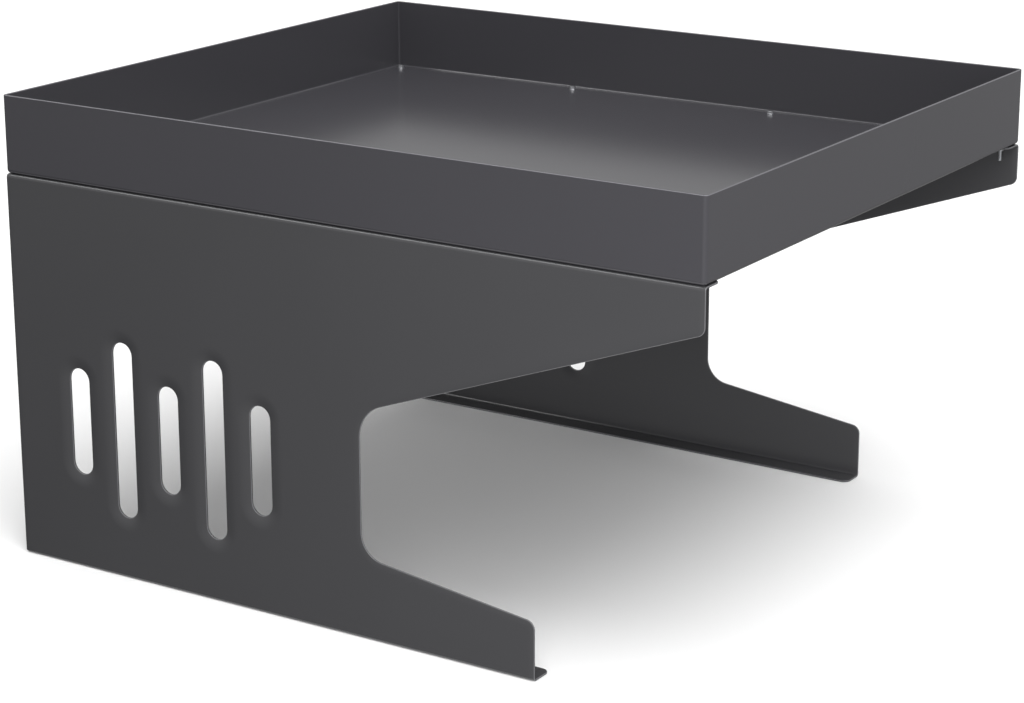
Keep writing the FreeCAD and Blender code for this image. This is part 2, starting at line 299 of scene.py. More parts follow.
def round_hole(centre: tuple[float, float], radius: float, steps: int, reach: float = 0) -> Loop:
    """A round hole, or an upright slot with round ends, in the sheet.

    The points lie on a circle, whose upper half is lifted by the reach and whose
    lower half is dropped by it. The sheet is outside, so inward is away from the
    centre.

    Args:
        centre: The middle of the hole.
        radius: The radius of its ends.
        steps: Number of steps in each half circle.
        reach: Distance from the middle to the centre of each end.

    Returns:
        The hole's outline.
    """
    if reach:
        half = np.linspace(0, math.pi, steps + 1)
        angle = np.concatenate((half, math.pi + half))
    else:
        angle = np.linspace(0, FULL_TURN, 2 * steps, endpoint=False)
    spoke = np.stack((np.cos(angle), np.sin(angle)), axis=-1)
    lift = np.where(np.arange(len(angle)) <= steps, reach, -reach)
    points = np.array(centre) + spoke * radius
    points[:, 1] += lift
    return Loop(points, spoke, drilled=not reach)


def inside(places: np.ndarray, loops: list[np.ndarray]) -> np.ndarray:
    """Whether each place lies in the sheet, inside its outline and outside its holes.

    A line from the place to the right crosses the outlines an odd number of times.

    Args:
        places: The places to test.
        loops: The outline and the holes, each as its points in order.

    Returns:
        A true or false for each place.
    """
    crossings = np.zeros(len(places), int)
    for loop in loops:
        start, end = loop, np.roll(loop, -1, axis=0)
        rise = end[:, 1] - start[:, 1]
        straddles = (start[None, :, 1] > places[:, 1:]) != (end[None, :, 1] > places[:, 1:])
        share = (places[:, 1:] - start[None, :, 1]) / np.where(rise == 0, 1.0, rise)
        meets = start[None, :, 0] + share * (end - start)[None, :, 0]
        crossings += (straddles & (meets > places[:, :1])).sum(axis=1)
    return crossings % 2 == 1


def filled(loops: list[np.ndarray], levels: np.ndarray) -> tuple[np.ndarray, np.ndarray]:
    """Cover the flat sheet between its outlines with triangles.

    The triangulation keeps every run of the outlines, and a line across the sheet
    along each bend level, between the outline's two points on that level.

    Args:
        loops: The outline and the holes, each as its points in order.
        levels: Second coordinates of the bend lines.

    Returns:
        The points and the triangles.
    """
    points = np.concatenate(loops)
    starts = np.cumsum([0] + [len(loop) for loop in loops[:-1]])
    runs = []
    for start, loop in zip(starts, loops):
        number = np.arange(len(loop))
        runs.append(start + np.stack((number, np.roll(number, -1)), axis=1))
    across = np.abs(loops[0][:, 1] - levels[:, None]) < NEAR
    runs += [np.nonzero(on_level)[0][None, :] for on_level in across]
    edges = [tuple(map(int, run)) for run in np.concatenate(runs)]
    made, _, faces, *_ = delaunay_2d_cdt(
        [Vector(point) for point in points], edges, [], INSIDE_ONLY, FILL_GRAIN
    )
    made = np.array(made, float)
    triangles = np.array(faces)
    kept = inside(made[triangles].mean(axis=1), loops)
    return made, triangles[kept]


@dataclass(frozen=True)
class SheetEdge:
    """The edge of a punched and coated sheet: the skins sink a little, then round off.

    With u from 0 to 1 between the reach and the edge's radius, a skin has sunk by
    sink * u * u, and its normal leans out by that curve's slope. Then a quarter circle
    turns on through the angle a: radius * (1 - sin a) from the edge. The other skin is
    the same from its own side, or, where the edge is pressed, sinks along with it.
    """

    thickness: float
    radius: float = 0.9
    steps: int = 4
    reach: float = 0.0
    sink: float = 0.0
    sink_steps: int = 8
    pressed: bool = False

    @property
    def start(self) -> float:
        """How far from the edge the skins are still flat."""
        return max(self.reach, self.radius)

    def profile(self) -> tuple[np.ndarray, np.ndarray, np.ndarray]:
        """The angle, inset and depth of each line along the edge.

        Returns:
            The angle of the normal, from 0 on one skin to a half turn on the other,
            the distance into the sheet and the depth under the first skin.
        """
        last = math.atan(2 * self.sink / (self.start - self.radius)) if self.sink else 0.0
        angle = np.linspace(last, QUARTER_TURN, self.steps + 1)
        inset = self.radius * (1 - np.sin(angle))
        depth = self.sink + self.radius * (math.cos(last) - np.cos(angle))
        lean, sunk = np.zeros_like(angle), np.full_like(angle, self.sink)
        if self.sink:
            share = np.linspace(0, 1, self.sink_steps, endpoint=False)
            run = self.reach - inset[0]
            slope = np.arctan(2 * self.sink * share / run)
            dish = self.sink * share**2
            angle = np.concatenate((slope, angle))
            inset = np.concatenate((self.reach - share * run, inset))
            depth = np.concatenate((dish, depth))
            lean = np.concatenate((slope, lean))
            sunk = np.concatenate((dish, sunk))
        follow = 2.0 if self.pressed else 0.0
        return (
            np.concatenate((angle, math.pi - angle[::-1] + follow * lean[::-1])),
            np.concatenate((inset, inset[::-1])),
            np.concatenate((depth, self.thickness - depth[::-1] + follow * sunk[::-1])),
        )

    @staticmethod
    def highlight_share(angle: np.ndarray) -> np.ndarray:
        """How much painted highlight each line gets: most halfway round a rounded corner.

        That is the square of the sine of twice the angle, and nought on the skins,
        where the normal leans out by a small sine at most.
        """
        return np.where(np.abs(np.sin(angle)) > SKIN_SINE, np.sin(2 * angle) ** 2, 0.0)


# Folded sheets


@dataclass
class FoldedSheet:
    """What the panels and the tray share: the sheet, and the bolt rows that join them."""

    width: float = 850.0
    depth: float = 1000.0
    sheet: float = 3.0
    bolt_inset: float = 20.0
    bolt_places: tuple[float, ...] = (-482.0, -141.0, 180.0, 482.0)
    bolt_hole: float = 2.8
    drilled_radius: float = 0.4
    arc_steps: int = 14

    @property
    def drilled_edge(self) -> SheetEdge:
        """The edge of a bolt hole."""
        return SheetEdge(self.sheet, radius=self.drilled_radius)


@dataclass
class SidePanel(FoldedSheet):
    """A side panel: one sheet folded inwards at its top and bottom.

    The flat sheet's first coordinate runs from front to rear and its second up the
    panel, round the bends and across the flanges.
    """

    height: float = 505.0
    bend: float = 5.0
    flange: float = 36.0
    flange_corner: float = 11.0
    arm_front: float = 53.5
    cutout_depth: float = 460.0
    cutout_top: float = 285.0
    cutout_bottom: float = 105.5
    foot_setback: float = 216.0
    foot_front: float = 74.0
    cutout_top_radius: float = 45.5
    cutout_bottom_radius: float = 34.0
    tip_radius: float = 12.0
    slot_width: float = 31.0
    slot_lengths: tuple[float, ...] = (140.0, 230.0, 140.0, 230.0, 140.0)
    slot_pitch: float = 71.5
    slot_last: float = 104.5
    slot_middle: float = 196.0
    edge_reach: float = 9.0
    edge_sink: float = 0.45
    slot_reach: float = 19.0
    slot_sink: float = 2.2
    slot_sink_steps: int = 12
    bend_steps: int = 8

    @property
    def bend_run(self) -> float:
        """Length of a bend in the flat sheet, along the middle of its thickness."""
        return (self.bend - self.sheet / 2) * QUARTER_TURN

    def turning(self, flat: np.ndarray) -> tuple[np.ndarray, np.ndarray, np.ndarray]:
        """Where places in the flat sheet lie on the web, in a bend or on a flange.

        Past the web's end the sheet turns by (distance past) / (bend's run) of a
        quarter turn, and by no more than that on the flange.

        Args:
            flat: Places in the flat sheet.

        Returns:
            The distance up from the web's middle, the distance past the web's end and
            the angle turned.
        """
        up = flat[..., 1] - self.height / 2
        past = np.maximum(np.abs(up) - (self.height / 2 - self.bend), 0)
        return up, past, np.minimum(past / self.bend_run, 1) * QUARTER_TURN

    def fold(self, flat: np.ndarray, depth: np.ndarray | float) -> np.ndarray:
        """Carry places in the flat sheet to the folded panel.

        Both bends alike: the sheet turns round a centre that lies the outside bend
        radius in from both faces, and then runs straight on. A place at some depth
        under the outside skin turns on a radius that much smaller.

        Args:
            flat: Places in the flat sheet.
            depth: How far under the outside skin each one lies.

        Returns:
            The places in the garage's frame.
        """
        half = self.height / 2
        up, past, turn = self.turning(flat)
        beyond = np.maximum(past - self.bend_run, 0)
        radius = self.bend - depth
        x = self.bend - self.width / 2 - radius * np.cos(turn) + beyond
        rise = np.minimum(np.abs(up), half - self.bend) + radius * np.sin(turn)
        return np.stack((x, flat[..., 0], half + np.sign(up) * rise), axis=-1)

    def directions(self, flat: np.ndarray) -> tuple[np.ndarray, np.ndarray]:
        """The outward normal of the folded sheet and its upward direction.

        With t the angle turned in the bend, the normal is (-cos t, 0, sin t) above
        and (-cos t, 0, -sin t) below, and the direction is that normal turned by a
        quarter towards the sheet's second coordinate.

        Args:
            flat: Places in the flat sheet.

        Returns:
            The normals and the directions.
        """
        up, _, turn = self.turning(flat)
        sign, none = np.sign(up), np.zeros_like(turn)
        normal = np.stack((-np.cos(turn), none, sign * np.sin(turn)), axis=-1)
        along = np.stack((sign * np.sin(turn), none, np.cos(turn)), axis=-1)
        return normal, along

    def bend_levels(self) -> np.ndarray:
        """Second coordinates of the lines that divide both bends."""
        steps = np.linspace(0, self.bend_run, self.bend_steps + 1)
        top = self.height - self.bend + steps
        return np.concatenate((self.height - top[::-1], top))

    def loops(self) -> list[Loop]:
        """Lay out the flat sheet's outline, its slots and its bolt holes.

        Returns:
            The outline, then the slots and then the holes, each from front to rear.
        """
        front, rear = -self.depth / 2, self.depth / 2
        back, foot = front + self.cutout_depth, front + self.foot_setback
        top = self.height - self.bend + self.bend_run + self.flange - self.bend
        bottom = self.height - top
        corners = np.array((
            (rear, bottom, self.flange_corner),
            (rear, top, self.flange_corner),
            (front, top, self.flange_corner),
            (front, self.height - self.arm_front, self.tip_radius),
            (back, self.cutout_top, self.cutout_top_radius),
            (back, self.cutout_bottom, self.cutout_bottom_radius),
            (foot, self.foot_front, self.tip_radius),
            (foot, bottom, self.flange_corner),
        ))
        outline = rounded_polygon(corners[:, :2], corners[:, 2], self.arc_steps)
        radius = self.slot_width / 2
        behind = np.arange(len(self.slot_lengths))[::-1]
        places = rear - self.slot_last - behind * self.slot_pitch
        slots = [
            round_hole((place, self.slot_middle), radius, self.arc_steps, length / 2 - radius)
            for place, length in zip(places, self.slot_lengths)
        ]
        row = self.height - self.bend + self.bend_run + self.bolt_inset - self.bend
        holes = [
            round_hole((place, row), self.bolt_hole, self.arc_steps)
            for place in self.bolt_places
        ]
        return [outline.crossing(self.bend_levels())] + slots + holes

    def band(self, loop: Loop, edge: SheetEdge) -> Surface:
        """Carry an edge's lines along one outline of the folded panel.

        A line's normal is cos a of the skin's normal and sin a of the direction out
        of the sheet, with a the line's angle.

        Args:
            loop: The outline, a slot or a bolt hole.
            edge: The shape of its edge.

        Returns:
            The band from one skin to the other.
        """
        angle, inset, depth = edge.profile()
        flat = loop.inset(inset[:, None, None])
        normal, along = self.directions(flat)
        outward = -loop.inward[:, :1] * AHEAD - loop.inward[:, 1:] * along
        normals = np.cos(angle)[:, None, None] * normal + np.sin(angle)[:, None, None] * outward
        return Surface(
            self.fold(flat, depth[:, None]).reshape(-1, 3),
            normals.reshape(-1, 3),
            lattice(len(angle), len(loop.points)),
            np.repeat(edge.highlight_share(angle), len(loop.points)),
        )

    def surface(self) -> Surface:
        """Close the left panel: both skins, and a band round every outline.

        Returns:
            The whole left panel.
        """
        loops = self.loops()
        cut = SheetEdge(self.sheet, reach=self.edge_reach, sink=self.edge_sink)
        slot = SheetEdge(
            self.sheet, reach=self.slot_reach, sink=self.slot_sink,
            sink_steps=self.slot_sink_steps, pressed=True,
        )
        edges = [cut] + [self.drilled_edge if loop.drilled else slot for loop in loops[1:]]
        parts = [self.band(loop, edge) for loop, edge in zip(loops, edges)]
        rims = [loop.inset(edge.start) for loop, edge in zip(loops, edges)]
        flat, triangles = filled(rims, self.bend_levels())
        normal, _ = self.directions(flat)
        parts.append(Surface(self.fold(flat, 0.0), normal, triangles))
        parts.append(Surface(self.fold(flat, self.sheet), -normal, triangles))
        return joined(parts).welded()

    def build(self, coats: Coats) -> list[bpy.types.Object]:
        """Make both panels, each in the place of its node.

        Args:
            coats: The material of each slot.

        Returns:
            The left piece and the right piece.
        """
        left = self.surface()
        pieces = []
        for side in Side:
            surface = left if side is Side.LEFT else left.mirrored()
            name = f"{side.label}_side_panel"
            piece = make_piece(f"{name}_folded", surface.facing_out(), own_normals=True)
            pieces.append(dressed(piece, Slot.SIDE_COAT, name, coats))
        return pieces


def raised(flat: np.ndarray, heights: np.ndarray) -> np.ndarray:
    """Give every line of level places or directions a third coordinate of its own."""
    third = np.broadcast_to(heights[:, None, None], flat.shape[:2] + (1,))
    return np.concatenate((flat, third), axis=-1).reshape(-1, 3)


@dataclass
class PlantingTray(FoldedSheet):
    """The roof: a shallow open tray with rounded corners, bends and rim."""

    underside: float = 505.0
    height: float = 100.0
    bend: float = 5.5
    rim_radius: float = 1.0
    rim_steps: int = 5
    corner_steps: int = 8

    @property
    def corner_centres(self) -> np.ndarray:
        """Centres of the corners' arcs, so far in that the straight walls join the arcs."""
        quarters = np.array(((1, 1), (-1, 1), (-1, -1), (1, -1)), float)
        return quarters * (self.width / 2 - self.bend, self.depth / 2 - self.bend)

    def wall_profile(self) -> np.ndarray:
        """The wall's section, from the floor's underside over the rim to its top.

        Each row is the distance in from the outside, the height, the outward and
        upward parts of the normal, and the crest, which weights the painted highlight.
        The outside bend is a quarter circle of the bend radius, the rim is the sheet's
        rounded edge, and the inside bend is a quarter circle smaller by the sheet.

        Returns:
            An array of such rows.
        """
        turn = np.linspace(0, QUARTER_TURN, self.corner_steps + 1)
        sine, cosine, none = np.sin(turn), np.cos(turn), np.zeros_like(turn)
        low, high, small = self.underside, self.underside + self.height, self.bend - self.sheet
        edge = SheetEdge(self.sheet, radius=self.rim_radius, steps=self.rim_steps)
        angle, inset, depth = edge.profile()
        sections = (
            (self.bend * (1 - sine), low + self.bend * (1 - cosine), sine, -cosine, none),
            (depth, high - inset, np.cos(angle), np.sin(angle), edge.highlight_share(angle)),
            (self.bend - small * cosine, low + self.bend - small * sine, -cosine, sine, none),
        )
        return np.concatenate([np.stack(section, axis=1) for section in sections])

    def wall(self) -> Surface:
        """Carry the wall's section round the tray.

        Every point of the path is a corner's centre plus a spoke, and a line of the
        section lies (bend radius - distance in) out along the spoke.

        Returns:
            The four walls with their bends and corners.
        """
        profile = self.wall_profile()
        turn = np.linspace(0, QUARTER_TURN, self.corner_steps + 1)
        angle = (np.arange(4)[:, None] * QUARTER_TURN + turn).reshape(-1)
        spoke = np.stack((np.cos(angle), np.sin(angle)), axis=1)
        centre = np.repeat(self.corner_centres, len(turn), axis=0)
        return Surface(
            raised(centre + spoke * (self.bend - profile[:, :1, None]), profile[:, 1]),
            raised(spoke * profile[:, 2:3, None], profile[:, 3]),
            lattice(len(profile), len(spoke)),
            np.repeat(profile[:, 4], len(spoke)),
        )

    def hole_edge(self, hole: Loop) -> Surface:
        """Carry the edge's lines round one bolt hole, from the floor's top to its underside."""
        angle, inset, depth = self.drilled_edge.profile()
        return Surface(
            raised(hole.inset(inset[:, None, None]), self.underside + self.sheet - depth),
            raised(-hole.inward * np.sin(angle)[:, None, None], np.cos(angle)),
            lattice(len(angle), len(hole.points)),
        )

    def surface(self) -> Surface:
        """Close the tray: its walls, both faces of the floor, and the bolt holes.

        Returns:
            The whole tray.
        """
        row = self.width / 2 - self.bolt_inset
        holes = [
            round_hole((side.value * row, place), self.bolt_hole, self.arc_steps)
            for side in Side for place in self.bolt_places
        ]
        parts = [self.wall()] + [self.hole_edge(hole) for hole in holes]
        rims = [hole.inset(self.drilled_edge.start) for hole in holes]
        flat, triangles = filled([self.corner_centres] + rims, np.empty(0))
        for level, upward in ((self.underside + self.sheet, 1.0), (self.underside, -1.0)):
            points = np.column_stack((flat, np.full(len(flat), level)))
            normals = np.tile((0.0, 0.0, upward), (len(flat), 1))
            parts.append(Surface(points, normals, triangles))
        return joined(parts).welded().facing_out()

    def build(self, coats: Coats) -> list[bpy.types.Object]:
        """Make the tray in the place of its node, with the materials of the slots."""
        piece = make_piece("roof_tray_folded", self.surface(), own_normals=True)
        return [dressed(piece, Slot.TRAY_COAT, "roof_tray", coats)]


# Fasteners


@dataclass(frozen=True)
class Thread:
    """A metric thread, the same helix on the bolt and in the nut."""

    radius: float = 2.48
    depth: float = 0.45
    pitch: float = 0.8
    stretch: float = 1.3
    trim: float = 0.15

    def cut(self, angle: np.ndarray, height: np.ndarray) -> np.ndarray:
        """Radius of the thread's surface at an angle and a height.

        The way from crest to root and back is a triangle wave of the share
        height / pitch - angle / full turn. It is stretched and cut off at both ends,
        which leaves the crest and the root flat.

        Args:
            angle: Angle round the axis.
            height: Height along the axis.

        Returns:
            The radius at each place.
        """
        share = (height / self.pitch - angle / FULL_TURN) % 1.0
        wave = np.clip(self.stretch * np.abs(2 * share - 1) - self.trim, 0, 1)
        return self.radius - self.depth * wave


@dataclass
class Fastener:
    """The bolts, nuts and washers: rings of points round an upright axis.

    The lead is the plain length at either end of a thread, the neck is the fillet
    under a bolt's head, and the mouth is the countersink at either end of a nut.
    """

    thread: Thread = Thread()
    thread_steps: int = 8
    round_steps: int = 48
    spanner: float = 8.0
    chamfer: float = math.radians(30)
    flat_share: float = 0.94
    head: float = 3.5
    length: float = 25.0
    plain: float = 6.0
    lead: float = 0.8
    neck_height: float = 0.3
    neck_flare: float = 0.2
    nut_height: float = 4.0
    clearance: float = 0.05
    mouth_depth: float = 0.4
    mouth_flare: float = 0.15
    washer_radius: float = 5.0
    washer_bore: float = 2.65
    washer_sheet: float = 1.0
    washer_rounding: float = 0.2

    @property
    def angles(self) -> np.ndarray:
        """The angles of the points in a ring."""
        return np.linspace(0, FULL_TURN, self.round_steps, endpoint=False)

    def hexagon(self) -> np.ndarray:
        """Radius of the hexagon at each angle: half the spanner size / cos(angle off the flat)."""
        off = (self.angles + math.pi / 6) % (math.pi / 3) - math.pi / 6
        return self.spanner / 2 / np.cos(math.pi / 6 - np.abs(off))

    def faces(self, low: float, high: float, below: bool, above: bool) -> list[tuple]:
        """Rings of a hexagon prism, with a cone taking off its corners at one end or both.

        The cone starts on the end face at a share of the spanner size, and drops by
        (radius - that radius) * tan(chamfer angle) at the hexagon's surface.

        Args:
            low: Height of the lower end.
            high: Height of the upper end.
            below: Whether the lower end is chamfered.
            above: Whether the upper end is chamfered.

        Returns:
            The radius and the height of each ring, upwards.
        """
        hexagon = self.hexagon()
        start = self.spanner / 2 * self.flat_share
        drop = (hexagon - start) * math.tan(self.chamfer)
        lower = [(start, low), (hexagon, low + drop)] if below else [(hexagon, low)]
        upper = [(hexagon, high - drop), (start, high)] if above else [(hexagon, high)]
        return lower + upper

    def turned(self, rings: list[tuple], closed: bool) -> Surface:
        """Join rings of points into one surface.

        Args:
            rings: The radius and the height of each ring, as numbers or as arrays
                with a value for each angle.
            closed: Whether the last ring joins the first, as round a bore.

        Returns:
            The surface round the axis X = Y = 0.
        """
        angles = self.angles
        radius = np.array([np.broadcast_to(ring[0], angles.shape) for ring in rings])
        height = np.array([np.broadcast_to(ring[1], angles.shape) for ring in rings])
        points = np.stack((radius * np.cos(angles), radius * np.sin(angles), height), axis=-1)
        triangles = lattice(len(rings), len(angles), rows_close=closed)
        return Surface(points.reshape(-1, 3), np.zeros((radius.size, 3)), triangles)

    def bolt(self) -> Surface:
        """A hexagon bolt with its seat at nought: chamfered head, shank and thread.

        Returns:
            The bolt's surface.
        """
        thread, angles, end = self.thread, self.angles, -self.length
        heights = np.arange(end + self.lead, -self.plain, thread.pitch / self.thread_steps)
        rings = [(0, end), (thread.radius - thread.depth, end)]
        rings += [(thread.cut(angles, height), height) for height in heights]
        rings += [(thread.radius, -self.plain + self.lead), (thread.radius, -self.neck_height)]
        rings += [(thread.radius + self.neck_flare, 0)]
        rings += self.faces(0, self.head, below=False, above=True)
        rings += [(0, self.head)]
        return self.turned(rings, closed=False)

    def nut(self) -> Surface:
        """A nut that hangs from nought, chamfered at both ends and threaded inside.

        Its thread stands off the bolt's by the clearance.

        Returns:
            The nut's surface.
        """
        thread, angles, end = self.thread, self.angles, -self.nut_height
        step = -thread.pitch / self.thread_steps
        heights = np.arange(-self.mouth_depth, end + self.mouth_depth, step)
        mouth = thread.radius + self.clearance + self.mouth_flare
        rings = [(mouth, end)]
        rings += self.faces(end, 0, below=True, above=True)
        rings += [(mouth, 0)]
        rings += [(thread.cut(angles, height) + self.clearance, height) for height in heights]
        return self.turned(rings, closed=True)

    def washer(self) -> Surface:
        """A stamped washer that lies on nought, with rounded edges.

        Returns:
            The washer's surface.
        """
        outside, bore, top = self.washer_radius, self.washer_bore, self.washer_sheet
        soft, third = self.washer_rounding, self.washer_rounding / 3
        rings = [
            (bore + third, 0), (outside - soft, 0), (outside - third, third),
            (outside, soft), (outside, top - soft), (outside - third, top - third),
            (outside - soft, top), (bore + soft, top), (bore + third, top - third),
            (bore, top - soft), (bore, third),
        ]
        return self.turned(rings, closed=True)

    def build(self, coats: Coats) -> list[bpy.types.Object]:
        """Make every fastener in the place of its node.

        Args:
            coats: The material of each slot.

        Returns:
            The pieces, four kinds at each of eight places.
        """
        washer = self.washer()
        shapes = {
            "bolt": (self.bolt(), "hexagon", self.length),
            "head_washer": (washer, "stamped", 0.0),
            "nut_washer": (washer, "stamped", 0.0),
            "nut": (self.nut(), "tapped", self.nut_height),
        }
        pieces = []
        for side in Side:
            for number in range(1, len(FoldedSheet.bolt_places) + 1):
                for kind, (shape, word, below) in shapes.items():
                    node = f"{side.label}_{kind}_{number}"
                    low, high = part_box(node)
                    seat = ((low + high) / 2 * METRE)[:2] + (low.z * METRE + below,)
                    placed = Surface(shape.points + np.array(seat), shape.normals, shape.triangles)
                    piece = make_piece(f"{node}_{word}", placed.welded(), own_normals=False)
                    pieces.append(dressed(piece, Slot.ZINC, node, coats))
        return pieces


# Finishes


@dataclass
class NodeSheet:
    """A node tree with a short way to add nodes and to link them."""

    tree: bpy.types.NodeTree

    def add(self, kind: str, **values: object) -> bpy.types.Node:
        """Add a node and set its properties.

        Args:
            kind: The node's type.
            values: Its properties by name.

        Returns:
            The node.
        """
        node = self.tree.nodes.new(kind)
        for name, value in values.items():
            setattr(node, name, value)
        return node

    def put(self, socket: Socket, value: object) -> None:
        """Link an input from a socket, or give it a constant.

        Args:
            socket: The input.
            value: The socket to link from, or the constant.
        """
        if isinstance(value, bpy.types.NodeSocket):
            self.tree.links.new(value, socket)
        else:
            socket.default_value = value

    def feed(self, node: bpy.types.Node, **inputs: object) -> bpy.types.Node:
        """Set or link a node's inputs, their names written with underscores.

        Args:
            node: The node.
            inputs: A socket to link from, or a constant, for each input.

        Returns:
            The node.
        """
        for name, value in inputs.items():
            self.put(node.inputs[name.replace("_", " ")], value)
        return node

    def maths(self, operation: str, *values: object, kind: str = "Math") -> Socket:
        """Add a math node and set or link its inputs in their order.

        Args:
            operation: What the node does.
            values: A socket to link from, or a constant, for each input.
            kind: Math for numbers or VectorMath for vectors.

        Returns:
            The socket with the result.
        """
        node = self.add(f"ShaderNode{kind}", operation=operation)
        for socket, value in zip(node.inputs, values):
            self.put(socket, value)
        return node.outputs[0]

    def noise(self, place: Socket, scale: object, detail: float) -> Socket:
        """Add a noise at a place, so fine and with so many finer layers, round a half."""
        node = self.feed(self.add("ShaderNodeTexNoise"), Vector=place, Scale=scale, Detail=detail)
        return node.outputs["Fac"]

    def ramp(self, value: Socket, span: Span, start: object, end: object) -> Socket:
        """Go smoothly from one strength to another while a value crosses a span."""
        node = self.add("ShaderNodeMapRange", interpolation_type="SMOOTHSTEP")
        self.feed(node, Value=value, From_Min=span[0], From_Max=span[1], To_Min=start, To_Max=end)
        return node.outputs["Result"]


COARSE_PEEL = 220.0
COARSE_SHARE = 0.5
SLOW_DRIFT = 5.0
NOISE_MIDDLE = 0.5


def coat_group() -> bpy.types.NodeTree:
    """The texture of a sprayed coat: fine orange peel and a slow change of tone.

    Height is a noise as fine as the grain, with a coarser one at half its strength.
    The tone and the roughness move round their middle by a slow noise, and a highlight
    is painted into the tone along the rounded edges, its strength times the crest.

    Returns:
        The node group.
    """
    group = bpy.data.node_groups.new("coat_texture", "ShaderNodeTree")
    face = group.interface
    for name, kind, value in (
        ("Vector", "Vector", None),
        ("Tone", "Color", (0.05, 0.05, 0.05, 1)),
        ("Grain", "Float", 600.0),
        ("Drift", "Float", 0.1),
        ("Middle Roughness", "Float", 0.4),
        ("Crest", "Float", 0.0),
        ("Lift", "Float", 0.0),
    ):
        socket = face.new_socket(name=name, in_out="INPUT", socket_type=f"NodeSocket{kind}")
        if value is not None:
            socket.default_value = value
    for name, kind in (("Color", "Color"), ("Roughness", "Float"), ("Height", "Float")):
        face.new_socket(name=name, in_out="OUTPUT", socket_type=f"NodeSocket{kind}")
    sheet = NodeSheet(group)
    given = sheet.add("NodeGroupInput").outputs
    made = sheet.add("NodeGroupOutput")
    fine = sheet.noise(given["Vector"], given["Grain"], detail=2.0)
    coarse = sheet.noise(given["Vector"], COARSE_PEEL, detail=1.0)
    slow = sheet.noise(given["Vector"], SLOW_DRIFT, detail=3.0)
    height = sheet.maths("MULTIPLY_ADD", coarse, COARSE_SHARE, fine)
    drift = sheet.maths("MULTIPLY", sheet.maths("SUBTRACT", slow, NOISE_MIDDLE), given["Drift"])
    rough = sheet.maths("ADD", given["Middle Roughness"], drift)
    # Painted highlight: the tone is raised along the rounded edges by the crest times its
    # strength.
    lifted = sheet.maths("MULTIPLY_ADD", given["Crest"], given["Lift"], 1.0)
    tone = sheet.add("ShaderNodeVectorMath", operation="SCALE")
    sheet.feed(tone, Vector=given["Tone"], Scale=sheet.maths("ADD", drift, lifted))
    sheet.feed(made, Color=tone.outputs[0], Roughness=rough, Height=height)
    return group


@dataclass(frozen=True)
class Finish:
    """A finish on metal: what its coat or plating looks like."""

    slot: Slot
    tone: tuple[float, float, float]
    roughness: float
    grain: float
    drift: float
    relief: float
    # Strength of the highlight painted along the rounded edges, times the crest.
    lift: float = 0.0
    metallic: float = 0.0

    def material(self, group: bpy.types.NodeTree) -> bpy.types.Material:
        """Build the finish as a material.

        Args:
            group: The shared coat texture.

        Returns:
            The material.
        """
        material = bpy.data.materials.new(f"{self.slot.value}_finish")
        material.use_nodes = True
        sheet = NodeSheet(material.node_tree)
        shader = material.node_tree.nodes["Principled BSDF"]
        place = sheet.add("ShaderNodeTexCoord")
        coat = sheet.add("ShaderNodeGroup", node_tree=group)
        # The crest places the highlight painted along the rounded edges.
        crest = sheet.add("ShaderNodeAttribute", attribute_name="crest")
        sheet.feed(
            coat, Vector=place.outputs["Object"], Tone=(*self.tone, 1.0), Grain=self.grain,
            Drift=self.drift, Middle_Roughness=self.roughness, Crest=crest.outputs["Fac"],
            Lift=self.lift,
        )
        bump = sheet.feed(
            sheet.add("ShaderNodeBump"), Height=coat.outputs["Height"], Strength=1.0,
            Distance=self.relief / METRE,
        )
        sheet.feed(
            shader, Base_Color=coat.outputs["Color"], Roughness=coat.outputs["Roughness"],
            Normal=bump.outputs["Normal"], Metallic=self.metallic,
        )
        return material


# Each coat's lift is the strength of the highlight painted along its rounded edges.
FINISHES = (
    Finish(
        Slot.SIDE_COAT, tone=(0.050, 0.050, 0.053), roughness=0.26,
        grain=650.0, drift=0.06, relief=0.003, lift=2.2,
    ),
    Finish(
        Slot.TRAY_COAT, tone=(0.0475, 0.0465, 0.0525), roughness=0.20,
        grain=650.0, drift=0.05, relief=0.002, lift=1.8,
    ),
    Finish(
        Slot.ZINC, tone=(0.72, 0.73, 0.75), roughness=0.28,
        grain=2600.0, drift=0.14, relief=0.002, metallic=1.0,
    ),
)


def dressed(piece: bpy.types.Object, slot: Slot, node: str, coats: Coats) -> bpy.types.Object:
    """Give a piece its finish and put it in the place of its node.

    Args:
        piece: The new piece.
        slot: The record's slot that it takes its finish from.
        node: The CAD node that it stands for.
        coats: The material of each slot.

    Returns:
        The piece.
    """
    piece.data.materials.append(coats[slot])
    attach(piece, "root")
    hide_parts(node)
    return piece


# Studio


def hung(data: bpy.types.Light, back: Vector) -> bpy.types.Object:
    """Put a lamp into the scene.

    Args:
        data: What kind of light it is.
        back: The direction in which its back is turned.

    Returns:
        The lamp.
    """
    lamp = added(data.name, data)
    lamp.rotation_euler = back.to_track_quat("Z", "Y").to_euler()
    return lamp


@dataclass(frozen=True)
class FarLight:
    """A broad soft light far off, in a direction and so many degrees wide."""

    name: str
    towards: Place
    power: float
    width: float
    only_reflected: bool = False

    def hang(self) -> None:
        """Put the light into the scene."""
        data = bpy.data.lights.new(self.name, "SUN")
        data.energy = self.power
        data.angle = math.radians(self.width)
        lamp = hung(data, Vector(self.towards))
        lamp.visible_diffuse = not self.only_reflected


@dataclass(frozen=True)
class Softbox:
    """A square softbox near the garage, out of sight and of reflections."""

    name: str
    place: Place
    aim: Place
    power: float
    size: float = 0.9
    spread: float = 110.0

    def hang(self) -> None:
        """Put the softbox into the scene, pointing at its aim."""
        data = bpy.data.lights.new(self.name, "AREA")
        data.size = self.size
        data.spread = math.radians(self.spread)
        data.energy = self.power
        lamp = hung(data, Vector(self.place) - Vector(self.aim))
        lamp.location = self.place
        lamp.visible_camera = False
        lamp.visible_glossy = False


